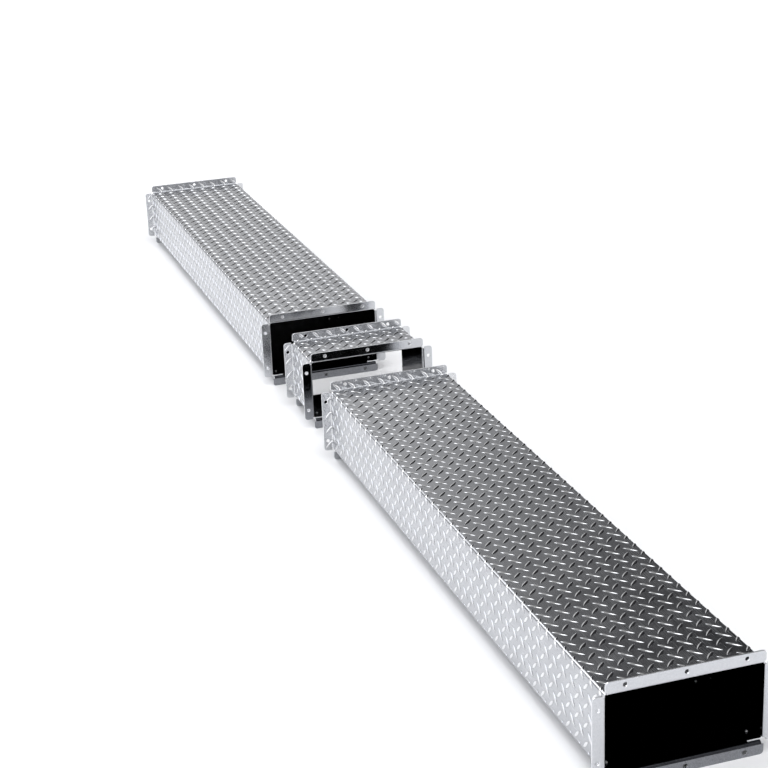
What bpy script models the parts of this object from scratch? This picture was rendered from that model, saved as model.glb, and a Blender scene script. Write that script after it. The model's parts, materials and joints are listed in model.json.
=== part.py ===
"""Tread-plate duct run: two long flanged duct sections and the short coupling section between them.

Each section is a folded sheet shell (top, two sides, two lips turned in under them) closed from
below by a floor plate, and blind rivets join the plate to the lips. Every wall ends in a tab that is
bent outwards, so each end of a section is a four-tab bolting flange. The long sections lie in line
along Y. The coupling section lies loose between them, a little to the right of that line, and the long
sections slide up to it until the flanges meet.

Metres, +Z up. The origin is on the ground, below the middle of the whole run.
"""
import math

import bmesh
import bpy
from mathutils import Vector

# Duct section
BOX_WIDTH = 0.240
BOX_HEIGHT = 0.125
SHEET = 0.0025
BEND_INNER = 0.002
BEND_OUTER = BEND_INNER + SHEET
LIP_WIDTH = 0.024
SEAM_GAP = 0.0003

# Flange tabs, one at each end of each wall
TAB_REACH = 0.018
TAB_EAR = 0.0035
TAB_CORNER = 0.006
BOLT_HOLE_RADIUS = 0.0035
BOLT_HOLE_REACH = 0.010
TOP_HOLE_SPACING = 0.090
SIDE_HOLE_SPACING = 0.080

# Blind rivets of the floor seams
RIVET_SHANK = 0.0016
RIVET_HOLE_RADIUS = 0.0019
RIVET_HEAD = 0.0033
RIVET_HEAD_HEIGHT = 0.0011
RIVET_BULB = 0.0024
RIVET_BULB_HEIGHT = 0.0028
RIVET_INSET = 0.014
RIVET_END_MARGIN = 0.025

# The run: section lengths, the open gaps between them, and how far right the coupling section lies
LONG_LENGTH = 1.250
COUPLING_LENGTH = 0.141
FAR_GAP = 0.1395
NEAR_GAP = 0.1705
COUPLING_SHIFT = 0.011
LONG_RIVETS_PER_SIDE = 9
COUPLING_RIVETS_PER_SIDE = 2

# Facets
BEND_STEPS = 3
CORNER_STEPS = 3
BOLT_HOLE_SIDES = 16
RIVET_SIDES = 10

FLOOR_Z = TAB_REACH
TOP_Z = FLOOR_Z + BOX_HEIGHT
LIP_Z = FLOOR_Z + SHEET + SEAM_GAP
TOTAL_LENGTH = 2.0 * LONG_LENGTH + COUPLING_LENGTH + FAR_GAP + NEAR_GAP

X = Vector((1.0, 0.0, 0.0))
Y = Vector((0.0, 1.0, 0.0))
Z = Vector((0.0, 0.0, 1.0))


def clear_scene():
    for obj in list(bpy.data.objects):
        bpy.data.objects.remove(obj, do_unlink=True)


def new_collection(name, hidden=False):
    collection = bpy.data.collections.new(name)
    bpy.context.scene.collection.children.link(collection)
    collection.hide_render = hidden
    return collection


def aluminium(name, colour, roughness):
    material = bpy.data.materials.new(name)
    material.use_nodes = True
    shader = material.node_tree.nodes["Principled BSDF"]
    shader.inputs["Base Color"].default_value = (*colour, 1.0)
    shader.inputs["Metallic"].default_value = 1.0
    shader.inputs["Roughness"].default_value = roughness
    return material


def add_object(name, bm, collection, parent):
    """Turn a bmesh into an object, in its parent's own space."""
    mesh = bpy.data.meshes.new(name)
    bm.to_mesh(mesh)
    bm.free()
    obj = bpy.data.objects.new(name, mesh)
    obj.parent = parent
    collection.objects.link(obj)
    return obj


# ---------------------------------------------------------------- folded sheet

def draw_line(bm, start, end):
    return [bm.edges.new((bm.verts.new(start), bm.verts.new(end)))]


def run_flat(bm, edges, move):
    """Carry the sheet's free edges on in a straight line and return the new free edges."""
    made = bmesh.ops.extrude_edge_only(bm, edges=edges)["geom"]
    verts = [item for item in made if isinstance(item, bmesh.types.BMVert)]
    bmesh.ops.translate(bm, verts=verts, vec=move)
    return [item for item in made if isinstance(item, bmesh.types.BMEdge)
            and all(vert in verts for vert in item.verts)]


def run_bend(bm, edges, centre, axis):
    """Carry the sheet's free edges on round a quarter turn and return the new free edges."""
    verts = list({vert for edge in edges for vert in edge.verts})
    made = bmesh.ops.spin(bm, geom=verts + edges, cent=centre, axis=axis,
                          angle=math.pi / 2.0, steps=BEND_STEPS)["geom_last"]
    return [item for item in made if isinstance(item, bmesh.types.BMEdge)]


def face_outwards(bm, upwards):
    """Give the sheet's faces one side, the outer one, found from its widest level wall."""
    bmesh.ops.recalc_face_normals(bm, faces=bm.faces[:])
    bm.normal_update()
    level = max((face for face in bm.faces if abs(face.normal.z) > 0.99), key=lambda f: f.calc_area())
    if (level.normal.z > 0.0) != upwards:
        bmesh.ops.reverse_faces(bm, faces=bm.faces[:])
        bm.normal_update()


def add_ears(bm, tip, outward):
    """Widen a tab's plate past both ends of its bend, and return its outer corners."""
    along = (tip.verts[1].co - tip.verts[0].co).normalized()
    plate = tip.link_faces[0]
    middle = plate.calc_center_median()
    sides = [edge for edge in plate.edges
             if abs((edge.verts[1].co - edge.verts[0].co).normalized().dot(outward)) > 0.9]
    corners = []
    for edge in sides:
        away = along if (edge.verts[0].co - middle).dot(along) > 0.0 else -along
        for side in run_flat(bm, [edge], away * TAB_EAR):
            corners.append(max(side.verts, key=lambda vert: vert.co.dot(outward)))
    bmesh.ops.dissolve_edges(bm, edges=sides, use_verts=True)
    return corners


def add_tabs(bm, wall_ends):
    """Bend a tab outwards from the end of each wall, and round the tab's corners."""
    corners = []
    for wall_end, heading in wall_ends:
        on_end = [edge for edge in bm.edges if edge.calc_length() > 2.0 * LIP_WIDTH
                  and all(abs(vert.co.y - wall_end) < 1e-6 for vert in edge.verts)]
        for edge in on_end:
            outward = edge.link_faces[0].normal.copy()
            middle = (edge.verts[0].co + edge.verts[1].co) / 2.0
            centre = middle + outward * BEND_INNER
            bent = run_bend(bm, [edge], centre, (-outward).cross(heading))
            for tip in run_flat(bm, bent, outward * (TAB_REACH - BEND_INNER)):
                corners += add_ears(bm, tip, outward)
    bmesh.ops.bevel(bm, geom=corners, offset=TAB_CORNER, offset_type="OFFSET",
                    segments=CORNER_STEPS, profile=0.5, affect="VERTICES", clamp_overlap=True)


def thicken(obj):
    """Give the sheet its thickness, measured inwards from its outer face."""
    solid = obj.modifiers.new("Sheet", "SOLIDIFY")
    solid.thickness = SHEET
    solid.offset = -1.0
    solid.solidify_mode = "NON_MANIFOLD"
    solid.nonmanifold_thickness_mode = "CONSTRAINTS"


def wall_ends_of(length):
    """Where the walls stop short of the flange faces, for the tabs' bends to start."""
    end = length / 2.0 - BEND_OUTER
    return ((-end, -Y), (end, Y))


def shell_sheet(length):
    """Outer face of the shell: left lip, left side, top, right side, right lip."""
    bm = bmesh.new()
    ends = wall_ends_of(length)
    half = BOX_WIDTH / 2.0
    side = TOP_Z - LIP_Z - 2.0 * BEND_OUTER
    flat = BOX_WIDTH - 2.0 * BEND_OUTER
    lip = LIP_WIDTH - BEND_OUTER

    start = Vector((LIP_WIDTH - half, 0.0, LIP_Z))
    edges = draw_line(bm, start + Y * ends[0][0], start + Y * ends[1][0])
    edges = run_flat(bm, edges, -X * lip)
    edges = run_bend(bm, edges, Vector((BEND_OUTER - half, 0.0, LIP_Z + BEND_OUTER)), Y)
    edges = run_flat(bm, edges, Z * side)
    edges = run_bend(bm, edges, Vector((BEND_OUTER - half, 0.0, TOP_Z - BEND_OUTER)), Y)
    edges = run_flat(bm, edges, X * flat)
    edges = run_bend(bm, edges, Vector((half - BEND_OUTER, 0.0, TOP_Z - BEND_OUTER)), Y)
    edges = run_flat(bm, edges, -Z * side)
    edges = run_bend(bm, edges, Vector((half - BEND_OUTER, 0.0, LIP_Z + BEND_OUTER)), Y)
    run_flat(bm, edges, -X * lip)
    face_outwards(bm, upwards=True)
    add_tabs(bm, ends)
    return bm


def floor_sheet(length):
    """Outer, lower face of the floor plate, as wide as the shell between its bends, with two end tabs."""
    bm = bmesh.new()
    ends = wall_ends_of(length)
    half = BOX_WIDTH / 2.0 - BEND_OUTER
    start = Vector((-half, 0.0, FLOOR_Z))
    edges = draw_line(bm, start + Y * ends[0][0], start + Y * ends[1][0])
    run_flat(bm, edges, X * 2.0 * half)
    face_outwards(bm, upwards=False)
    add_tabs(bm, ends)
    return bm


# ---------------------------------------------------------------- holes

def add_bore(bm, centre, axis, radius, sides, depth):
    turn = Z.rotation_difference(axis).to_matrix().to_4x4()
    turn.translation = centre
    bmesh.ops.create_cone(bm, cap_ends=True, segments=sides, radius1=radius, radius2=radius,
                          depth=depth, matrix=turn)


def bolt_hole_places():
    """The x and z of a flange's holes: the top and side tabs' holes, then the floor tab's."""
    middle = (LIP_Z + TOP_Z) / 2.0
    upper = [(x, TOP_Z + BOLT_HOLE_REACH) for x in (-TOP_HOLE_SPACING, 0.0, TOP_HOLE_SPACING)]
    for side in (-1.0, 1.0):
        for step in (-0.5, 0.5):
            upper.append((side * (BOX_WIDTH / 2.0 + BOLT_HOLE_REACH), middle + step * SIDE_HOLE_SPACING))
    lower = [(x, FLOOR_Z - BOLT_HOLE_REACH) for x in (-TOP_HOLE_SPACING, 0.0, TOP_HOLE_SPACING)]
    return upper, lower


def rivet_places(length, per_side):
    """The x and y of a section's rivets, with a name for each."""
    places = []
    first = RIVET_END_MARGIN - length / 2.0
    pitch = (length - 2.0 * RIVET_END_MARGIN) / (per_side - 1)
    for side, sign in (("left", -1.0), ("right", 1.0)):
        for index in range(per_side):
            places.append((f"{side}_{index + 1}", sign * (BOX_WIDTH / 2.0 - RIVET_INSET),
                           first + index * pitch))
    return places


def drill(obj, cutters, bolt_holes, rivets, length):
    """Cut one sheet's flange holes at both ends and its rivet holes."""
    bm = bmesh.new()
    for end in (-length / 2.0, length / 2.0):
        for x, z in bolt_holes:
            add_bore(bm, Vector((x, end, z)), Y, BOLT_HOLE_RADIUS, BOLT_HOLE_SIDES, 4.0 * SHEET)
    for _, x, y in rivets:
        add_bore(bm, Vector((x, y, LIP_Z)), Z, RIVET_HOLE_RADIUS, RIVET_SIDES, 4.0 * SHEET)
    cutter = add_object(obj.name + "_drill", bm, cutters, obj.parent)
    cutter.hide_render = True
    cutter.display_type = "WIRE"
    cut = obj.modifiers.new("Holes", "BOOLEAN")
    cut.operation = "DIFFERENCE"
    cut.solver = "EXACT"
    cut.object = cutter


# ---------------------------------------------------------------- rivets

def rivet_profile():
    """Half section of a set blind rivet about its axis, from the bulb down its outer side to the head."""
    bulb_foot = LIP_Z + SHEET + SEAM_GAP
    bulb_top = bulb_foot + RIVET_BULB_HEIGHT
    head_top = FLOOR_Z - SEAM_GAP
    rim = head_top - RIVET_HEAD_HEIGHT * 0.3
    crown = head_top - RIVET_HEAD_HEIGHT
    return [(0.0, bulb_top), (RIVET_BULB * 0.7, bulb_top), (RIVET_BULB, bulb_top - RIVET_BULB * 0.4),
            (RIVET_BULB, bulb_foot), (RIVET_SHANK, bulb_foot), (RIVET_SHANK, head_top),
            (RIVET_HEAD, head_top), (RIVET_HEAD, rim), (RIVET_HEAD * 0.6, crown + RIVET_HEAD_HEIGHT * 0.1),
            (0.0, crown)]


def add_rivet(name, x, y, collection, parent, material):
    bm = bmesh.new()
    verts = [bm.verts.new((radius, 0.0, z)) for radius, z in rivet_profile()]
    for upper, lower in zip(verts, verts[1:]):
        bm.edges.new((upper, lower))
    rivet = add_object(name, bm, collection, parent)
    rivet.location = Vector((x, y, 0.0))
    rivet.data.materials.append(material)
    turn = rivet.modifiers.new("Turned", "SCREW")
    turn.axis = "Z"
    turn.steps = RIVET_SIDES
    turn.render_steps = RIVET_SIDES
    turn.use_merge_vertices = True
    turn.merge_threshold = 0.00001
    turn.use_smooth_shade = True
    return rivet


# ---------------------------------------------------------------- sections

def add_sheet_piece(name, bm, collection, parent, material):
    obj = add_object(name, bm, collection, parent)
    obj.data.materials.append(material)
    thicken(obj)
    return obj


def build_section(name, x, y, length, per_side, collection, cutters):
    """One duct section, its middle above the ground point x, y."""
    middle = bpy.data.objects.new(name, None)
    middle.location = (x, y, 0.0)
    collection.objects.link(middle)

    upper_holes, lower_holes = bolt_hole_places()
    rivets = rivet_places(length, per_side)
    shell = add_sheet_piece(name + "_shell", shell_sheet(length), collection, middle,
                            aluminium(name + "_shell", (0.72, 0.73, 0.75), 0.28))
    drill(shell, cutters, upper_holes, rivets, length)
    plate = add_sheet_piece(name + "_floor_plate", floor_sheet(length), collection, middle,
                            aluminium(name + "_floor_plate", (0.66, 0.67, 0.69), 0.32))
    drill(plate, cutters, lower_holes, rivets, length)
    finish = aluminium(name + "_rivets", (0.58, 0.59, 0.61), 0.40)
    for label, rivet_x, rivet_y in rivets:
        add_rivet(f"{name}_rivet_{label}", rivet_x, rivet_y, collection, middle, finish)


def main():
    clear_scene()
    collection = new_collection("tread_plate_duct_run")
    cutters = new_collection("cutters", hidden=True)
    long_x = -COUPLING_SHIFT / 2.0
    near_y = (LONG_LENGTH - TOTAL_LENGTH) / 2.0
    far_y = (TOTAL_LENGTH - LONG_LENGTH) / 2.0
    coupling_y = far_y - LONG_LENGTH / 2.0 - FAR_GAP - COUPLING_LENGTH / 2.0
    build_section("near_section", long_x, near_y, LONG_LENGTH, LONG_RIVETS_PER_SIDE, collection, cutters)
    build_section("coupling_section", long_x + COUPLING_SHIFT, coupling_y, COUPLING_LENGTH,
                  COUPLING_RIVETS_PER_SIDE, collection, cutters)
    build_section("far_section", long_x, far_y, LONG_LENGTH, LONG_RIVETS_PER_SIDE, collection, cutters)


main()
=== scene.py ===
"""The finished look of the tread-plate duct run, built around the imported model.

Each folded sheet of the frame is replaced by a finer sheet with rounded edges and smooth bends, and its
outer face gets the raised lugs of tread plate. The lugs are laid out on the flat blank and folded with
it, so the pattern runs on over the corners and into the tabs.
"""

import json
import math

import bmesh
import bpy
import numpy as np
from mathutils import Matrix, Vector


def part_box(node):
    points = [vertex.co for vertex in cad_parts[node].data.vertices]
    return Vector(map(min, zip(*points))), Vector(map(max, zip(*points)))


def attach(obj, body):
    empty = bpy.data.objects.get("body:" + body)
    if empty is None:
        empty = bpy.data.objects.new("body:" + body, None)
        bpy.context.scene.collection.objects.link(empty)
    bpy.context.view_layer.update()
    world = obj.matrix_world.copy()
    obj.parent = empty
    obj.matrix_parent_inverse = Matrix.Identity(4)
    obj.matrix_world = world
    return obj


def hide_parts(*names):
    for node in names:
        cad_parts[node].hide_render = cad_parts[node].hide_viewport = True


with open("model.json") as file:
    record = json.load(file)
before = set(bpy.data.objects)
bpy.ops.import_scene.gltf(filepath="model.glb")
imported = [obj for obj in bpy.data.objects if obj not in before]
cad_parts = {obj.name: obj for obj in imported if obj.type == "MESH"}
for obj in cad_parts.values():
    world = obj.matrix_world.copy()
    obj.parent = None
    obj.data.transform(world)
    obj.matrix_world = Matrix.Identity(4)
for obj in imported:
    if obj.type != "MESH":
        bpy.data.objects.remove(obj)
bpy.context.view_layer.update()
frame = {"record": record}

# The sheet metal, as in the model
BOX_WIDTH = 0.240
SHEET = 0.0025
BEND_INNER = 0.002
BEND_OUTER = BEND_INNER + SHEET
LIP_WIDTH = 0.024
TAB_REACH = 0.018
TAB_EAR = 0.0035
TAB_CORNER = 0.006
BOLT_HOLE_RADIUS = 0.0035
BOLT_HOLE_REACH = 0.010
TOP_HOLE_SPACING = 0.090
SIDE_HOLE_SPACING = 0.080
SEAM_GAP = 0.0003

# Blind rivets
RIVET_SHANK = 0.0016
RIVET_HOLE_RADIUS = 0.0019
RIVET_HEAD = 0.0033
RIVET_HEAD_HEIGHT = 0.0011
RIVET_BULB = 0.0024
RIVET_BULB_HEIGHT = 0.0028
RIVET_EASE = 0.0001
MANDREL = 0.0009
MANDREL_PROUD = 0.0005
MANDREL_HOLLOW = 0.0009

# Finish of the sheet
BEND_STEPS = 10
CORNER_STEPS = 8
BOLT_HOLE_SIDES = 36
RIVET_SIDES = 28
EDGE_ROUND = 0.00035
SHARP_EDGE = math.radians(50.0)
SHARP_LUG_EDGE = math.radians(70.0)
SHARP_RIVET_EDGE = math.radians(40.0)

# Tread pattern: lugs at 45 degrees, in two directions that alternate
LUG_PITCH = BOX_WIDTH / 8.05
LUG_LENGTH = 0.0250
LUG_WIDTH = 0.0066
LUG_HEIGHT = 0.0013
LUG_SINK = 0.00012
LUG_TIP = 0.00012
LUG_STATIONS = 9
LUG_STATIONS_ON_BEND = 21
LUG_ACROSS = (-1.0, -0.84, -0.56, -0.2, 0.2, 0.56, 0.84, 1.0)
LUG_SAMPLES = 41
SHORTEST_LUG = 0.005
EDGE_MARGIN = 0.0006
COS_45 = math.sqrt(0.5)
# Powers of the lug's rounded outlines: its plan, its ridge from end to end, and its dome from side to side
LUG_PLAN = (1.9, 0.9)
LUG_RIDGE = (2.6, 0.75)
LUG_DOME = (2.3, 0.8)

FLOOR_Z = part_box("far_section_shell")[0].z - SHEET - SEAM_GAP
TOP_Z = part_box("far_section_shell")[1].z - TAB_REACH
LIP_Z = FLOOR_Z + SHEET + SEAM_GAP
FLOOR_HALF = BOX_WIDTH / 2.0 - BEND_OUTER
QUARTER = math.pi / 2.0

X = Vector((1.0, 0.0, 0.0))
Y = Vector((0.0, 1.0, 0.0))
Z = Vector((0.0, 0.0, 1.0))

# Sections: the tread's phase on each sheet's blank as a share of the pitch (across, along), the pitch along
# the section over the pitch across it, and the finish of the left flanges' fronts; the coupling's is
# painted shade
SECTIONS = {
    "far_section": {"shell": (0.527, 0.771), "floor_plate": (0.10, 0.65), "stretch": 1.0275,
                    "left_front": "satin"},
    # The coupling's left flange front takes the darker copy, painted shade
    "coupling_section": {"shell": (0.481, 0.867), "floor_plate": (0.70, 0.20), "stretch": 1.0,
                         "left_front": "painted_shade_copy"},
    "near_section": {"shell": (0.24, 0.913), "floor_plate": (0.40, 0.45), "stretch": 1.0,
                     "left_front": "bright"},
}


# ---------------------------------------------------------------- node helpers

def new_material(name):
    material = bpy.data.materials.new(name)
    material.use_nodes = True
    tree = material.node_tree
    return material, tree, tree.nodes["Principled BSDF"]


def add_node(tree, kind, inputs=None, **settings):
    """A node with its settings, and its inputs by name as values or as links from other sockets."""
    node = tree.nodes.new(kind)
    for key, value in settings.items():
        setattr(node, key, value)
    for key, value in (inputs or {}).items():
        if isinstance(value, bpy.types.NodeSocket):
            tree.links.new(value, node.inputs[key])
        else:
            node.inputs[key].default_value = value
    return node


def object_point(tree, stretch=(1.0, 1.0, 1.0)):
    """Object coordinates, stretched so that a pattern gets longer along an axis with a small factor."""
    place = add_node(tree, "ShaderNodeTexCoord").outputs["Object"]
    return add_node(tree, "ShaderNodeMapping", {"Vector": place, "Scale": stretch}).outputs["Vector"]


def noise(tree, scale, detail=4.0, rough=0.55, stretch=(1.0, 1.0, 1.0)):
    inputs = {"Vector": object_point(tree, stretch), "Scale": scale, "Detail": detail, "Roughness": rough}
    return add_node(tree, "ShaderNodeTexNoise", inputs).outputs["Fac"]


def remap(tree, value, source, target=(0.0, 1.0)):
    """The value carried from one range to another, and held at the ends."""
    inputs = {"Value": value, "From Min": source[0], "From Max": source[1],
              "To Min": target[0], "To Max": target[1]}
    return add_node(tree, "ShaderNodeMapRange", inputs).outputs["Result"]


def blend_colour(tree, factor, first, second):
    """A mix of two colours, each a link or red, green and blue."""
    mix = add_node(tree, "ShaderNodeMix", data_type="RGBA")
    tree.links.new(factor, mix.inputs["Factor"])
    for socket, value in ((mix.inputs[6], first), (mix.inputs[7], second)):
        if isinstance(value, bpy.types.NodeSocket):
            tree.links.new(value, socket)
        else:
            socket.default_value = (*value, 1.0)
    return mix.outputs[2]


def combine(tree, operation, first, second):
    node = add_node(tree, "ShaderNodeMath", operation=operation)
    for socket, value in zip(node.inputs, (first, second)):
        if isinstance(value, bpy.types.NodeSocket):
            tree.links.new(value, socket)
        else:
            socket.default_value = value
    return node.outputs[0]


def finish_material(tree, shader, colour, rough, height, strength, distance):
    """Bare metal with a colour, a roughness and a bump."""
    bump = add_node(tree, "ShaderNodeBump", {"Strength": strength, "Distance": distance, "Height": height})
    tree.links.new(colour, shader.inputs["Base Color"])
    tree.links.new(rough, shader.inputs["Roughness"])
    tree.links.new(bump.outputs["Normal"], shader.inputs["Normal"])
    shader.inputs["Metallic"].default_value = 1.0


# ---------------------------------------------------------------- materials

# Dark and light ends of each finish's colour
TREAD_COLOURS = ((0.435, 0.444, 0.462), (0.500, 0.508, 0.526))
# The side tabs' backs: the tread face's colour made lighter, painted light
SIDE_TAB_PAINTED_LIGHT_COLOURS = ((0.66, 0.668, 0.682), (0.75, 0.756, 0.768))
# The lugs: dark flanks are painted shade, light crests part burnishing and part painted highlight
LUG_PAINTED_SHADE_AND_HIGHLIGHT_COLOURS = ((0.300, 0.307, 0.320), (0.790, 0.793, 0.80))
# The inside faces: nearly black, painted shade for the dark inside of the duct
INSIDE_PAINTED_SHADE_COLOURS = ((0.016, 0.017, 0.020), (0.055, 0.057, 0.063))
FLANGE_COLOURS = ((0.50, 0.51, 0.53), (0.66, 0.67, 0.69))
# A darker copy of the flange colours: painted shade on the coupling's left tab front and the floor tabs'
# fronts
FLANGE_PAINTED_SHADE_COLOURS = ((0.17, 0.175, 0.19), (0.34, 0.35, 0.37))
CUT_COLOURS = ((0.66, 0.67, 0.69), (0.90, 0.90, 0.91))
RIVET_COLOURS = ((0.30, 0.305, 0.315), (0.44, 0.445, 0.455))

# Roughness of the smooth flanges
MIRROR = (0.08, 0.15)
SATIN = (0.20, 0.28)

# How a pattern is drawn out along the rolling direction
ROLLED_GRAIN = (60.0, 1.0, 60.0)
ROLLED_STREAKS = (90.0, 1.0, 90.0)
ROLLED_WAVES = (1.0, 0.5, 1.0)


def tread_face_material(name, colours):
    """Bright rolled outer face: a light rolling grain along the sheet, with faint cloudy patches."""
    material, tree, shader = new_material(name)
    grain = noise(tree, 14.0, detail=5.0, rough=0.6, stretch=ROLLED_GRAIN)
    cloud = noise(tree, 16.0, detail=3.0)
    pits = noise(tree, 900.0, detail=2.0)
    colour = blend_colour(tree, remap(tree, cloud, (0.35, 0.65)), *colours)
    rough = combine(tree, "ADD", remap(tree, grain, (0.3, 0.7), (0.16, 0.28)),
                    remap(tree, cloud, (0.3, 0.7), (-0.02, 0.05)))
    height = combine(tree, "ADD", grain, combine(tree, "MULTIPLY", pits, 0.5))
    finish_material(tree, shader, colour, rough, height, strength=0.18, distance=0.0004)
    return material


def lug_material():
    """Raised lugs: the same sheet, smoother along the crests; their colour is lighter on the crests, partly
    burnishing and partly painted highlight, and darker down the flanks, painted shade.
    """
    material, tree, shader = new_material("tread_lug")
    crest = add_node(tree, "ShaderNodeAttribute", attribute_name="crest").outputs["Fac"]
    pits = noise(tree, 700.0, detail=3.0)
    crest_and_pits = combine(tree, "ADD", crest, combine(tree, "MULTIPLY", pits, 0.35))
    burnish_and_painted_light = remap(tree, crest_and_pits, (0.25, 0.95))
    # Crests lighter, part burnishing and part painted highlight; flanks darker, painted shade
    colour = blend_colour(tree, burnish_and_painted_light, *LUG_PAINTED_SHADE_AND_HIGHLIGHT_COLOURS)
    rough = remap(tree, burnish_and_painted_light, (0.0, 1.0), (0.18, 0.09))
    finish_material(tree, shader, colour, rough, pits, strength=0.12, distance=0.0003)
    return material


def mill_material(name, colours, gloss):
    """Smooth mill finish with long rolling streaks and a slow waviness."""
    material, tree, shader = new_material(name)
    streak = noise(tree, 9.0, detail=6.0, rough=0.65, stretch=ROLLED_STREAKS)
    cloud = noise(tree, 22.0, detail=3.0)
    wave = noise(tree, 18.0, detail=1.0, stretch=ROLLED_WAVES)
    colour = blend_colour(tree, remap(tree, streak, (0.3, 0.7)), *colours)
    rough = combine(tree, "ADD", remap(tree, streak, (0.3, 0.7), gloss),
                    remap(tree, cloud, (0.35, 0.7), (0.0, 0.06)))
    height = combine(tree, "ADD", wave, combine(tree, "MULTIPLY", streak, 0.03))
    finish_material(tree, shader, colour, rough, height, strength=0.35, distance=0.0015)
    return material


def cut_edge_material():
    """Sheared and drilled edges: bright, with fine torn lines."""
    material, tree, shader = new_material("cut_edge")
    torn = noise(tree, 1500.0, detail=3.0)
    colour = blend_colour(tree, torn, *CUT_COLOURS)
    rough = remap(tree, torn, (0.3, 0.7), (0.24, 0.42))
    finish_material(tree, shader, colour, rough, torn, strength=0.25, distance=0.0002)
    return material


def rivet_material():
    """Satin aluminium blind rivets, finely speckled."""
    material, tree, shader = new_material("rivet_satin")
    speckle = noise(tree, 900.0, detail=3.0)
    colour = blend_colour(tree, speckle, *RIVET_COLOURS)
    rough = remap(tree, speckle, (0.3, 0.7), (0.28, 0.44))
    finish_material(tree, shader, colour, rough, speckle, strength=0.15, distance=0.0002)
    return material


# ---------------------------------------------------------------- objects

def add_object(name, mesh):
    obj = bpy.data.objects.new(name, mesh)
    bpy.context.scene.collection.objects.link(obj)
    return obj


def mesh_from(bm, name):
    mesh = bpy.data.meshes.new(name)
    bm.to_mesh(mesh)
    bm.free()
    return mesh


def bake_modifiers(obj):
    """Replace an object's mesh by the mesh that its modifiers make."""
    graph = bpy.context.evaluated_depsgraph_get()
    made = bpy.data.meshes.new_from_object(obj.evaluated_get(graph))
    old = obj.data
    obj.modifiers.clear()
    obj.data = made
    bpy.data.meshes.remove(old)


# ---------------------------------------------------------------- folded sheet

# Material slots of a sheet. A flange's back is its tread side, and its front meets the next section.
OUTER, INNER, CUT, SIDE_FLANGE_BACK, FLANGE_FRONT, LEFT_FLANGE_FRONT = range(6)

def run_flat(bm, edges, move):
    """Carry the sheet's free edges on in a straight line and return the new free edges."""
    made = bmesh.ops.extrude_edge_only(bm, edges=edges)["geom"]
    verts = [item for item in made if isinstance(item, bmesh.types.BMVert)]
    bmesh.ops.translate(bm, verts=verts, vec=move)
    return [item for item in made if isinstance(item, bmesh.types.BMEdge)
            and all(vert in verts for vert in item.verts)]


def run_bend(bm, edges, centre, axis):
    """Carry the sheet's free edges on round a quarter turn and return the new free edges."""
    verts = list({vert for edge in edges for vert in edge.verts})
    made = bmesh.ops.spin(bm, geom=verts + edges, cent=centre, axis=axis, angle=QUARTER,
                          steps=BEND_STEPS)["geom_last"]
    return [item for item in made if isinstance(item, bmesh.types.BMEdge)]


def face_outwards(bm, upwards):
    """Give the sheet's faces one side, the outer one, found from its widest level wall."""
    bmesh.ops.recalc_face_normals(bm, faces=bm.faces[:])
    bm.normal_update()
    level = max((face for face in bm.faces if abs(face.normal.z) > 0.99), key=lambda f: f.calc_area())
    if (level.normal.z > 0.0) != upwards:
        bmesh.ops.reverse_faces(bm, faces=bm.faces[:])
        bm.normal_update()


def add_ears(bm, tip, outward):
    """Widen a tab's plate past both ends of its bend, and return its outer corners."""
    along = (tip.verts[1].co - tip.verts[0].co).normalized()
    plate = tip.link_faces[0]
    middle = plate.calc_center_median()
    sides = [edge for edge in plate.edges
             if abs((edge.verts[1].co - edge.verts[0].co).normalized().dot(outward)) > 0.9]
    corners = []
    for edge in sides:
        away = along if (edge.verts[0].co - middle).dot(along) > 0.0 else -along
        for side in run_flat(bm, [edge], away * TAB_EAR):
            corners.append(max(side.verts, key=lambda vert: vert.co.dot(outward)))
    bmesh.ops.dissolve_edges(bm, edges=sides, use_verts=True)
    return corners


def add_tabs(bm, wall_ends):
    """Bend a tab outwards from the end of each wall, and round the tab's corners."""
    corners = []
    for wall_end, heading in wall_ends:
        on_end = [edge for edge in bm.edges if edge.calc_length() > 2.0 * LIP_WIDTH
                  and all(abs(vert.co.y - wall_end) < 1e-6 for vert in edge.verts)]
        for edge in on_end:
            outward = edge.link_faces[0].normal.copy()
            middle = (edge.verts[0].co + edge.verts[1].co) / 2.0
            bent = run_bend(bm, [edge], middle + outward * BEND_INNER, (-outward).cross(heading))
            for tip in run_flat(bm, bent, outward * (TAB_REACH - BEND_INNER)):
                corners += add_ears(bm, tip, outward)
    bmesh.ops.bevel(bm, geom=corners, offset=TAB_CORNER, offset_type="OFFSET",
                    segments=CORNER_STEPS, profile=0.5, affect="VERTICES", clamp_overlap=True)


def start_sheet(x, z, low, high):
    """A new sheet's first free edge, which runs along Y at x and z."""
    bm = bmesh.new()
    return bm, [bm.edges.new((bm.verts.new((x, low, z)), bm.verts.new((x, high, z))))]


def shell_sheet(low, high):
    """Outer face of a shell: left lip, left side, top, right side, right lip."""
    half = BOX_WIDTH / 2.0
    side = TOP_Z - LIP_Z - 2.0 * BEND_OUTER
    lip = LIP_WIDTH - BEND_OUTER
    inner = half - BEND_OUTER
    bm, edges = start_sheet(LIP_WIDTH - half, LIP_Z, low + BEND_OUTER, high - BEND_OUTER)
    edges = run_flat(bm, edges, -X * lip)
    edges = run_bend(bm, edges, Vector((-inner, 0.0, LIP_Z + BEND_OUTER)), Y)
    edges = run_flat(bm, edges, Z * side)
    edges = run_bend(bm, edges, Vector((-inner, 0.0, TOP_Z - BEND_OUTER)), Y)
    edges = run_flat(bm, edges, X * 2.0 * inner)
    edges = run_bend(bm, edges, Vector((inner, 0.0, TOP_Z - BEND_OUTER)), Y)
    edges = run_flat(bm, edges, -Z * side)
    edges = run_bend(bm, edges, Vector((inner, 0.0, LIP_Z + BEND_OUTER)), Y)
    run_flat(bm, edges, -X * lip)
    face_outwards(bm, upwards=True)
    add_tabs(bm, ((low + BEND_OUTER, -Y), (high - BEND_OUTER, Y)))
    return bm


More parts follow.
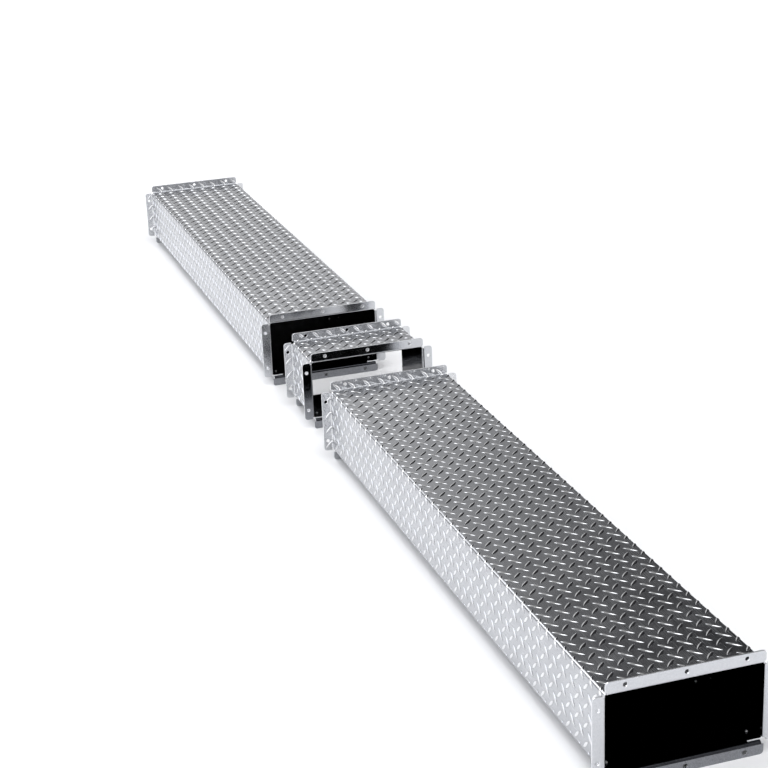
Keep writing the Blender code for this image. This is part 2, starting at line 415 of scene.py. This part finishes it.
def floor_sheet(low, high):
    """Outer, lower face of a floor plate, with a tab turned down at each end."""
    bm, edges = start_sheet(-FLOOR_HALF, FLOOR_Z, low + BEND_OUTER, high - BEND_OUTER)
    run_flat(bm, edges, X * 2.0 * FLOOR_HALF)
    face_outwards(bm, upwards=False)
    add_tabs(bm, ((low + BEND_OUTER, -Y), (high - BEND_OUTER, Y)))
    return bm


def add_bore(bm, centre, axis, radius, sides, depth):
    turn = Z.rotation_difference(axis).to_matrix().to_4x4()
    turn.translation = centre
    bmesh.ops.create_cone(bm, cap_ends=True, segments=sides, radius1=radius, radius2=radius,
                          depth=depth, matrix=turn)


def drill_object(name, bolt_holes, rivets, low, high):
    """A cutter for one sheet's holes. Its faces carry the slot of cut edges."""
    bm = bmesh.new()
    for end in (low, high):
        for x, z in bolt_holes:
            add_bore(bm, Vector((x, end, z)), Y, BOLT_HOLE_RADIUS, BOLT_HOLE_SIDES, 4.0 * SHEET)
    for x, y in rivets:
        add_bore(bm, Vector((x, y, LIP_Z)), Z, RIVET_HOLE_RADIUS, RIVET_SIDES, 4.0 * SHEET)
    for face in bm.faces:
        face.material_index = CUT
    return add_object(name, mesh_from(bm, name))


def slot_at(slot, point, high):
    """The slot of a face at a point, once the flanges have their own finish, and the lips' long edges and
    the floor tabs' inner bends take the inside's painted shade.
    """
    on_flange = abs(point.y) > high - BEND_OUTER
    beside = abs(point.x) > BOX_WIDTH / 2.0 - SHEET
    # The floor tabs' inner bends keep the inside's painted shade
    on_floor_bend = FLOOR_Z + SHEET - BEND_OUTER < point.z < LIP_Z and not beside
    # The side tabs' backs take the lighter copy of the tread face, painted light
    if slot == OUTER and on_flange and beside:
        return SIDE_FLANGE_BACK
    if slot == INNER and on_flange and not on_floor_bend:
        return LEFT_FLANGE_FRONT if beside and point.x < 0.0 else FLANGE_FRONT
    # The lips' long edges take the inside's painted shade, not the bright cut edge
    if slot == CUT and abs(abs(point.x) + LIP_WIDTH - BOX_WIDTH / 2.0) < EDGE_ROUND:
        return INNER
    return slot


def finish_sheet(name, bm, bolt_holes, rivets, low, high, materials):
    """Thicken, drill and round a folded sheet. Its materials are in the order of the slots."""
    obj = add_object(name, mesh_from(bm, name))
    for material in materials:
        obj.data.materials.append(material)
    solid = obj.modifiers.new("Sheet", "SOLIDIFY")
    solid.thickness = SHEET
    solid.offset = -1.0
    solid.solidify_mode = "NON_MANIFOLD"
    solid.nonmanifold_thickness_mode = "CONSTRAINTS"
    solid.material_offset = INNER
    solid.material_offset_rim = CUT
    drill = drill_object(name + "_drill", bolt_holes, rivets, low, high)
    cut = obj.modifiers.new("Holes", "BOOLEAN")
    cut.operation = "DIFFERENCE"
    cut.solver = "EXACT"
    cut.object = drill
    edges = obj.modifiers.new("Edges", "BEVEL")
    edges.width = EDGE_ROUND
    edges.segments = 2
    edges.limit_method = "ANGLE"
    edges.angle_limit = SHARP_EDGE
    edges.use_clamp_overlap = True
    bake_modifiers(obj)
    bpy.data.objects.remove(drill, do_unlink=True)
    for face in obj.data.polygons:
        face.material_index = slot_at(face.material_index, face.center, high)
    obj.data.shade_smooth()
    obj.data.set_sharp_from_angle(angle=SHARP_EDGE)
    even = obj.modifiers.new("Even shading", "WEIGHTED_NORMAL")
    even.keep_sharp = True
    bake_modifiers(obj)
    return obj


# ---------------------------------------------------------------- tread on the folded blank

class Blank:
    """The flat blank of one sheet, and where its points land once it is folded.

    u runs across the blank and v along it, both in metres; the height is out from the outer face. Runs
    across are walls and bends in turn. A heading is a direction in the X-Z plane, and the sheet's outer
    side is on its left.
    """

    def __init__(self, start, heading, runs, tread, low, high):
        self.walls, self.bends, self.tread = [], [], tread
        self.low, self.high = low + BEND_OUTER, high - BEND_OUTER
        self.tab_length = BEND_INNER * QUARTER + TAB_REACH - BEND_INNER
        self.holes = []
        point, heading, at = np.array(start), np.array(heading), 0.0
        for kind, length in runs:
            left = np.array((-heading[1], heading[0]))
            if kind == "wall":
                self.walls.append((at, at + length, point, heading, left))
                point = point + heading * length
            else:
                self.bends.append((at, at + length, point - left * BEND_OUTER, left))
                point = point - left * BEND_OUTER + heading * BEND_OUTER
                heading = -left
            at += length
        self.width = at

    def add_hole(self, u, v, radius):
        self.holes.append((u, v, radius))

    def section(self, u):
        """The X-Z place of the outer face at u, and its outward direction."""
        place, out = np.zeros((*u.shape, 2)), np.zeros((*u.shape, 2))
        for start, end, point, heading, left in self.walls:
            on = (u >= start - 1e-9) & (u <= end + 1e-9)
            place[on] = point + heading * (u[on] - start)[:, None]
            out[on] = left
        for start, end, centre, left in self.bends:
            on = (u > start) & (u < end)
            turn = (u[on] - start) / BEND_OUTER
            cos, sin = np.cos(turn), np.sin(turn)
            out[on] = np.stack((left[0] * cos + left[1] * sin, left[1] * cos - left[0] * sin), axis=1)
            place[on] = centre + out[on] * BEND_OUTER
        return place, out

    def fold(self, u, v, height):
        """World points for blank points, arrays of one shape."""
        place, out = self.section(u)
        past = np.maximum(v - self.high, 0.0) + np.maximum(self.low - v, 0.0)
        side = np.where(v > self.high, 1.0, -1.0)
        turn = np.minimum(past / BEND_INNER, QUARTER)
        radius = BEND_INNER - height
        bent = past > 0.0
        rise = np.where(bent, BEND_INNER - radius * np.cos(turn)
                        + np.maximum(past - BEND_INNER * QUARTER, 0.0), height)
        along = np.where(bent, np.clip(v, self.low, self.high) + side * radius * np.sin(turn), v)
        return np.stack((place[..., 0] + out[..., 0] * rise, along,
                         place[..., 1] + out[..., 1] * rise), axis=-1)

    def holds(self, u, v):
        """True where a point lies on the patterned side of the blank, clear of its edges and holes."""
        past = np.maximum(v - self.high, 0.0) + np.maximum(self.low - v, 0.0)
        patterned = (u > self.tread[0]) & (u < self.tread[1])
        inside = past <= 0.0
        corner = TAB_CORNER - EDGE_MARGIN
        out = np.maximum(past - self.tab_length + TAB_CORNER, 0.0)
        for start, end, *_ in self.walls:
            aside = np.maximum(np.maximum(start - TAB_EAR - u, u - end - TAB_EAR) + TAB_CORNER, 0.0)
            rounded = aside ** 2 + out ** 2 < corner ** 2
            inside |= (u > start) & (u < end) & (past > 0.0) & rounded
        inside &= patterned
        for hole_u, hole_v, radius in self.holes:
            inside &= (u - hole_u) ** 2 + (v - hole_v) ** 2 > (radius + EDGE_MARGIN) ** 2
        return inside

    def near_bend(self, u, v):
        """True for blank points closer than half a lug to a bend."""
        reach = LUG_LENGTH / 2.0
        near = (v < self.low + reach) | (v > self.high - reach)
        for start, end, *_ in self.bends:
            near |= (u > start - reach) & (u < end + reach)
        return near


def hole_offsets():
    """Flange holes about the middle of their wall: across it, for the level walls and for the sides."""
    return (-TOP_HOLE_SPACING, 0.0, TOP_HOLE_SPACING), (-SIDE_HOLE_SPACING / 2.0, SIDE_HOLE_SPACING / 2.0)


def add_tab_holes(blank, wall, offsets):
    start, end = wall[:2]
    reach = BEND_INNER * QUARTER + BOLT_HOLE_REACH - BEND_INNER
    for v in (blank.low - reach, blank.high + reach):
        for offset in offsets:
            blank.add_hole((start + end) / 2.0 + offset, v, BOLT_HOLE_RADIUS)


def shell_blank(low, high):
    half = BOX_WIDTH / 2.0
    lip = LIP_WIDTH - BEND_OUTER
    side = TOP_Z - LIP_Z - 2.0 * BEND_OUTER
    bend = BEND_OUTER * QUARTER
    top = BOX_WIDTH - 2.0 * BEND_OUTER
    runs = [("wall", lip), ("bend", bend), ("wall", side), ("bend", bend), ("wall", top),
            ("bend", bend), ("wall", side), ("bend", bend), ("wall", lip)]
    total = sum(length for _, length in runs)
    tread = (lip + bend * 0.75, total - lip - bend * 0.75)
    blank = Blank((LIP_WIDTH - half, LIP_Z), (-1.0, 0.0), runs, tread, low, high)
    level, upright = hole_offsets()
    for wall, offsets in ((blank.walls[1], upright), (blank.walls[2], level), (blank.walls[3], upright)):
        add_tab_holes(blank, wall, offsets)
    return blank


def floor_blank(low, high, rivets):
    blank = Blank((FLOOR_HALF, FLOOR_Z), (-1.0, 0.0), [("wall", 2.0 * FLOOR_HALF)],
                  (EDGE_MARGIN, 2.0 * FLOOR_HALF - EDGE_MARGIN), low, high)
    add_tab_holes(blank, blank.walls[0], hole_offsets()[0])
    for x, y in rivets:
        blank.add_hole(FLOOR_HALF - x, y, RIVET_HEAD)
    return blank


def lug_places(blank, phase, stretch):
    """Middles and directions of all lugs whose middle is near the blank."""
    past = blank.tab_length + LUG_LENGTH / 2.0
    pitch_along = LUG_PITCH * stretch
    columns = range(-1, int(blank.width / LUG_PITCH) + 2)
    rows = range(-1, int((blank.high - blank.low + 2.0 * past) / pitch_along) + 2)
    places = []
    for column in columns:
        for row in rows:
            for shift, lean in ((0.0, -1.0), (0.5, 1.0)):
                places.append(((column + phase[0] + shift) * LUG_PITCH,
                               blank.low - past + (row + phase[1] + shift) * pitch_along, lean))
    return np.array(places)


def rounded(share, powers):
    """1 in the middle, falling to 0 where the share reaches 1 or -1."""
    return np.maximum(1.0 - np.abs(share) ** powers[0], 0.0) ** powers[1]


def lug_half_width(along):
    """Half the width of a lug's foot, for a place along it from -1 to 1."""
    return LUG_WIDTH / 2.0 * rounded(along, LUG_PLAN) + LUG_TIP


def lug_crest(along, across):
    """How high the lug stands, from 0 at its foot to 1 on the crest."""
    return rounded(along, LUG_RIDGE) * rounded(across, LUG_DOME)


def longest_run(flags):
    """First and last number of the longest run of true flags, or None."""
    best, start = None, None
    for number, flag in enumerate([*flags, False]):
        if flag and start is None:
            start = number
        elif not flag and start is not None:
            if best is None or number - start > best[1] - best[0] + 1:
                best = (start, number - 1)
            start = None
    return best


def kept_lugs(blank, phase, stretch):
    """Each lug that lies on the blank: middle, direction, and the run of it that the edges leave."""
    places = lug_places(blank, phase, stretch)
    samples = np.linspace(-1.0, 1.0, LUG_SAMPLES)
    reach = samples * LUG_LENGTH / 2.0
    half = lug_half_width(samples)
    kept = []
    on_both = np.ones((len(places), len(samples)), bool)
    for side in (-1.0, 1.0):
        u = places[:, :1] + COS_45 * (reach[None] - side * half[None] * places[:, 2:])
        v = places[:, 1:2] + COS_45 * (reach[None] * places[:, 2:] + side * half[None])
        on_both &= blank.holds(u, v)
    for place, flags in zip(places, on_both):
        run = longest_run(flags)
        if run and reach[run[1]] - reach[run[0]] >= SHORTEST_LUG:
            kept.append((*place, samples[run[0]], samples[run[1]]))
    return np.array(kept)


def lug_grid(blank, lugs, stations):
    """Points and crest values of lugs, each a grid of stations along it by points across it."""
    share = (1.0 - np.cos(np.linspace(0.0, math.pi, stations))) / 2.0
    along = lugs[:, 3:4] + (lugs[:, 4:5] - lugs[:, 3:4]) * share[None]
    across = np.array(LUG_ACROSS)
    along, across = np.broadcast_arrays(along[:, :, None], across[None, None])
    offset = lug_half_width(along) * across
    reach = along * LUG_LENGTH / 2.0
    lean = lugs[:, 2][:, None, None]
    u = lugs[:, 0][:, None, None] + COS_45 * (reach - offset * lean)
    v = lugs[:, 1][:, None, None] + COS_45 * (reach * lean + offset)
    crest = lug_crest(along, across)
    points = blank.fold(u, v, crest * (LUG_HEIGHT + LUG_SINK) - LUG_SINK)
    return points.reshape(-1, 3), crest.reshape(-1)


def lug_faces(count, stations, first):
    """Faces of lugs that are closed bodies: the domed top, the two ends and the foot."""
    wide = len(LUG_ACROSS)
    faces = []
    for station in range(stations - 1):
        row, following = station * wide, (station + 1) * wide
        for step in range(wide - 1):
            faces.append((row + step, following + step, following + step + 1, row + step + 1))
        faces.append((row + wide - 1, following + wide - 1, following, row))
    faces.append(tuple(range(wide)))
    faces.append(tuple((stations - 1) * wide + step for step in reversed(range(wide))))
    size = stations * wide
    return [tuple(first + lug * size + corner for corner in face) for lug in range(count) for face in faces]


def tread_object(name, blank, lugs, material):
    """Some lugs of one sheet as one object, finer where they run over a bend."""
    bent = blank.near_bend(lugs[:, 0], lugs[:, 1])
    points, crests, faces, count = [], [], [], 0
    for some, stations in ((lugs[~bent], LUG_STATIONS), (lugs[bent], LUG_STATIONS_ON_BEND)):
        if not len(some):
            continue
        grid, crest = lug_grid(blank, some, stations)
        faces += lug_faces(len(some), stations, count)
        points.append(grid)
        crests.append(crest)
        count += len(grid)
    mesh = bpy.data.meshes.new(name)
    mesh.from_pydata(np.concatenate(points).tolist(), [], faces)
    bm = bmesh.new()
    bm.from_mesh(mesh)
    bmesh.ops.recalc_face_normals(bm, faces=bm.faces[:])
    bm.to_mesh(mesh)
    bm.free()
    mesh.attributes.new("crest", "FLOAT", "POINT").data.foreach_set("value", np.concatenate(crests))
    mesh.materials.append(material)
    mesh.shade_smooth()
    mesh.set_sharp_from_angle(angle=SHARP_LUG_EDGE)
    return add_object(name, mesh)


def shell_tread(section, low, high, look, material):
    """The lugs of a shell, as one object for each wall and the half bends beside it."""
    blank = shell_blank(low, high)
    lugs = kept_lugs(blank, look["shell"], look["stretch"])
    pieces = []
    for label, wall in zip(("left", "top", "right"), blank.walls[1:4]):
        reach = BEND_OUTER * QUARTER / 2.0
        first = wall[0] - (reach if label != "left" else blank.width)
        last = wall[1] + (reach if label != "right" else blank.width)
        own = (lugs[:, 0] >= first) & (lugs[:, 0] < last)
        pieces.append(tread_object(f"{section}_{label}_lugs", blank, lugs[own], material))
    return pieces


def floor_tread(section, low, high, rivets, look, material):
    blank = floor_blank(low, high, rivets)
    lugs = kept_lugs(blank, look["floor_plate"], look["stretch"])
    return tread_object(section + "_floor_lugs", blank, lugs, material)


# ---------------------------------------------------------------- rivets

# The rounding of the bulb and of the head, in steps of a quarter turn
BULB_STEPS = 6
HEAD_STEPS = 7
BULB_SHOULDER = 0.55


def rivet_profile():
    """Radius and height along a set blind rivet: mandrel stub, bulb, shank, and a domed, hollow head."""
    bulb_foot = LIP_Z + SHEET + SEAM_GAP
    bulb_top = bulb_foot + RIVET_BULB_HEIGHT
    shoulder_top = bulb_top - MANDREL_PROUD
    head_top = FLOOR_Z - SEAM_GAP
    crown = head_top - RIVET_HEAD_HEIGHT
    hollow_rim = MANDREL * 1.2
    profile = [(0.0, bulb_top), (MANDREL * 0.8, bulb_top), (MANDREL, bulb_top - 2.0 * RIVET_EASE),
               (MANDREL, shoulder_top)]
    for step in range(BULB_STEPS + 1):
        turn = QUARTER * step / BULB_STEPS
        profile.append((RIVET_BULB * (BULB_SHOULDER + (1.0 - BULB_SHOULDER) * math.sin(turn)),
                        shoulder_top - RIVET_BULB * BULB_SHOULDER * (1.0 - math.cos(turn))))
    profile += [(RIVET_BULB * 0.96, bulb_foot + 2.0 * RIVET_EASE), (RIVET_BULB * 0.90, bulb_foot),
                (RIVET_SHANK, bulb_foot), (RIVET_SHANK, head_top), (RIVET_HEAD - RIVET_EASE, head_top),
                (RIVET_HEAD, head_top - RIVET_EASE)]
    for step in range(1, HEAD_STEPS + 1):
        turn = QUARTER * step / HEAD_STEPS
        profile.append((hollow_rim + (RIVET_HEAD - hollow_rim) * math.cos(turn),
                        head_top - RIVET_EASE - (RIVET_HEAD_HEIGHT - RIVET_EASE) * math.sin(turn)))
    return profile + [(MANDREL, crown + 2.0 * RIVET_EASE), (MANDREL, crown + MANDREL_HOLLOW),
                      (0.0, crown + MANDREL_HOLLOW)]


def rivet_mesh(material):
    """A rivet turned about its axis."""
    bm = bmesh.new()
    verts = [bm.verts.new((radius, 0.0, z)) for radius, z in rivet_profile()]
    edges = [bm.edges.new(pair) for pair in zip(verts, verts[1:])]
    bmesh.ops.spin(bm, geom=verts + edges, cent=(0.0, 0.0, 0.0), axis=Z, angle=2.0 * math.pi,
                   steps=RIVET_SIDES, use_merge=True)
    bmesh.ops.remove_doubles(bm, verts=bm.verts[:], dist=1e-6)
    bmesh.ops.recalc_face_normals(bm, faces=bm.faces[:])
    mesh = mesh_from(bm, "blind_rivet")
    mesh.materials.append(material)
    mesh.shade_smooth()
    mesh.set_sharp_from_angle(angle=SHARP_RIVET_EDGE)
    return mesh


def middle_of(node):
    low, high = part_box(node)
    return (low + high) / 2.0


# ---------------------------------------------------------------- sections

def wear(obj, place, body, slot, *nodes):
    """Put a finished piece in its place on its body, and hide the model's parts that it stands for; the
    slot is not used.
    """
    obj.location = place
    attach(obj, body)
    if nodes:
        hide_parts(*nodes)


def build_section(section, look, shell_materials, floor_materials, lug, rivet):
    """One duct section, made about its own middle and then put where its shell is."""
    shell_middle = middle_of(section + "_shell")
    place = Vector((shell_middle.x, shell_middle.y, 0.0))
    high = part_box(section + "_shell")[1].y - place.y
    low = -high
    rivet_nodes = [node for node in frame["record"]["behaviour"]["bodies"][section] if "_rivet_" in node]
    rivets = [(middle_of(node) - place).xy for node in rivet_nodes]

    level, upright = hole_offsets()
    side_x = BOX_WIDTH / 2.0 + BOLT_HOLE_REACH
    middle_z = (LIP_Z + TOP_Z) / 2.0
    shell_holes = [(x, TOP_Z + BOLT_HOLE_REACH) for x in level]
    shell_holes += [(x, middle_z + step) for x in (-side_x, side_x) for step in upright]
    floor_holes = [(x, FLOOR_Z - BOLT_HOLE_REACH) for x in level]

    shell = finish_sheet(section + "_shell_sheet", shell_sheet(low, high), shell_holes, rivets,
                         low, high, shell_materials)
    plate = finish_sheet(section + "_floor_sheet", floor_sheet(low, high), floor_holes, rivets,
                         low, high, floor_materials)
    wear(shell, place, section, "tread_sheet", section + "_shell")
    wear(plate, place, section, "tread_sheet", section + "_floor_plate")
    for lugs in (*shell_tread(section, low, high, look, lug),
                 floor_tread(section, low, high, rivets, look, lug)):
        wear(lugs, place, section, "tread_sheet")
    for node, (x, y) in zip(rivet_nodes, rivets):
        wear(add_object(node + "_set", rivet), place + Vector((x, y, 0.0)), section, "rivet", node)


# ---------------------------------------------------------------- stage, light and camera

FLOOR_SIZE = 60.0
FLOOR_WHITE = (0.93, 0.93, 0.935, 1.0)
FLOOR_ROUGHNESS = 0.75
FLOOR_SPECULAR = 0.2


def make_floor():
    bpy.ops.mesh.primitive_plane_add(size=FLOOR_SIZE, location=(0.0, 0.0, 0.0))
    floor = bpy.context.object
    floor.name = "floor"
    material, _, shader = new_material("floor_white")
    shader.inputs["Base Color"].default_value = FLOOR_WHITE
    shader.inputs["Roughness"].default_value = FLOOR_ROUGHNESS
    shader.inputs["Specular IOR Level"].default_value = FLOOR_SPECULAR
    floor.data.materials.append(material)


def toward(tree, direction, aim, inner, outer):
    """1 within the inner angle of a direction, falling to 0 at the outer angle, in degrees."""
    dot = add_node(tree, "ShaderNodeVectorMath", {0: direction, 1: Vector(aim).normalized()},
                   operation="DOT_PRODUCT").outputs["Value"]
    inputs = {"Value": dot, "From Min": math.cos(math.radians(outer)),
              "From Max": math.cos(math.radians(inner))}
    return add_node(tree, "ShaderNodeMapRange", inputs, interpolation_type="SMOOTHSTEP").outputs["Result"]


# What hangs in the studio: where it is as seen from the object, its inner and outer angle, its colour.
# The softboxes add their light. The black flags keep the right-hand flanks of the lugs dark, on the walls
# and on the tabs, and the grey screen is what the flanges' backs reflect.
SOFTBOXES = (
    ((-0.27, 0.69, 0.665), 6.0, 15.0, (5.6, 5.7, 5.9)),
    ((0.02, 0.17, 0.98), 6.0, 14.0, (3.8, 3.85, 3.95)),
    ((-0.90, 0.35, 0.25), 10.0, 30.0, (1.5, 1.56, 1.7)),
    ((0.0, -0.40, 0.92), 10.0, 24.0, (2.8, 2.8, 2.84)),
)
WALL_FLAG = ((0.68, 0.50, 0.50), 22.0, 38.0, (0.03, 0.03, 0.032))
TAB_FLAG = ((0.66, -0.14, 0.73), 14.0, 28.0, (0.04, 0.04, 0.042))
SCREEN = ((0.28, -0.89, 0.35), 16.0, 32.0, (0.72, 0.72, 0.73))
# How bright the grey walls are, from the horizon up to the zenith, and how much bluer than grey
WALL_LIGHT = ((0.0, 0.18), (0.22, 0.50), (0.40, 1.06), (0.50, 1.06), (0.66, 0.42), (1.0, 0.42))
WALL_BLUE = 1.01
# The bright front wall, and where along Y the walls turn into it
FRONT_LIGHT = (1.42, 1.43, 1.46)
FRONT_FROM, FRONT_TO = -0.12, -0.35
# What shows behind the floor's far edge
BACKDROP = (0.90, 0.90, 0.905)


def hang(tree, direction, light, item):
    """Put a flag or a screen before the light that comes from behind it."""
    aim, inner, outer, colour = item
    return blend_colour(tree, toward(tree, direction, aim, inner, outer), light, colour)


def wall_light(tree, height):
    """The grey walls' light by height."""
    walls = add_node(tree, "ShaderNodeValToRGB", {"Fac": height})
    stops = walls.color_ramp.elements
    for _ in WALL_LIGHT[2:]:
        stops.new(1.0)
    for stop, (place, grey) in zip(stops, WALL_LIGHT):
        stop.position, stop.color = place, (grey, grey, grey * WALL_BLUE, 1.0)
    return walls.outputs["Color"]


def make_world():
    """A studio as seen from the object: grey walls, a bright front wall, flags, a screen and softboxes."""
    world = bpy.data.worlds.new("studio")
    bpy.context.scene.world = world
    world.use_nodes = True
    tree = world.node_tree
    direction = add_node(tree, "ShaderNodeTexCoord").outputs["Generated"]
    split = add_node(tree, "ShaderNodeSeparateXYZ", {"Vector": direction})
    light = hang(tree, direction, wall_light(tree, split.outputs["Z"]), WALL_FLAG)
    light = blend_colour(tree, remap(tree, split.outputs["Y"], (FRONT_FROM, FRONT_TO)), light, FRONT_LIGHT)
    light = hang(tree, direction, light, SCREEN)
    light = hang(tree, direction, light, TAB_FLAG)
    for aim, inner, outer, colour in SOFTBOXES:
        glow = blend_colour(tree, toward(tree, direction, aim, inner, outer), (0.0, 0.0, 0.0), colour)
        light = add_node(tree, "ShaderNodeVectorMath", {0: light, 1: glow}, operation="ADD").outputs[0]
    seen = add_node(tree, "ShaderNodeLightPath").outputs["Is Camera Ray"]
    tree.links.new(blend_colour(tree, seen, light, BACKDROP), tree.nodes["Background"].inputs["Color"])


# The camera's place from the far section's near end, in box widths, and its right and backward directions
CAMERA_WIDTHS_OFF = Vector((-4.2326, -15.1555, 5.6387))
CAMERA_RIGHT = Vector((0.9484, -0.3146, -0.0398))
CAMERA_BACK = Vector((-0.2823, -0.8949, 0.3458))
CAMERA_LENS = 86.1
CAMERA_CLIP = (0.05, 100.0)


def make_camera():
    """The camera at the photo's viewing angle."""
    back = CAMERA_BACK.normalized()
    right = (CAMERA_RIGHT - back * CAMERA_RIGHT.dot(back)).normalized()
    place = Matrix((right, back.cross(right), back)).transposed().to_4x4()
    flange = Vector((middle_of("far_section_shell").x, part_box("far_section_shell")[0].y, FLOOR_Z))
    place.translation = flange + CAMERA_WIDTHS_OFF * BOX_WIDTH
    data = bpy.data.cameras.new("camera")
    data.lens = CAMERA_LENS
    data.clip_start, data.clip_end = CAMERA_CLIP
    camera = bpy.data.objects.new("camera", data)
    camera.matrix_world = place
    bpy.context.scene.collection.objects.link(camera)
    bpy.context.scene.camera = camera


def corners(box):
    return [list(corner) for corner in box]


make_camera()
make_floor()
make_world()
bpy.context.scene.view_settings.view_transform = "Standard"

sheet = (tread_face_material("tread_face", TREAD_COLOURS),
         # The inside faces, nearly black: painted shade
         mill_material("inner_mill_painted_shade", INSIDE_PAINTED_SHADE_COLOURS, MIRROR),
         cut_edge_material(),
         # The side tabs' backs, lighter than the tread face: painted light
         tread_face_material("tread_tab_painted_light", SIDE_TAB_PAINTED_LIGHT_COLOURS))
flanges = {"bright": mill_material("flange_mill", FLANGE_COLOURS, MIRROR),
           "satin": mill_material("satin_flange_mill", FLANGE_COLOURS, SATIN),
           # The darker copy of the flange mill: painted shade
           "painted_shade_copy": mill_material("flange_mill_painted_shade", FLANGE_PAINTED_SHADE_COLOURS, MIRROR)}
lug = lug_material()
rivet = rivet_mesh(rivet_material())
for section_name, section_look in SECTIONS.items():
    shell_finish = (*sheet, flanges["bright"], flanges[section_look["left_front"]])
    # The floor tabs' fronts take the darker flange copy, painted shade
    floor_finish = (*sheet, flanges["painted_shade_copy"], flanges["painted_shade_copy"])
    build_section(section_name, section_look, shell_finish, floor_finish, lug, rivet)
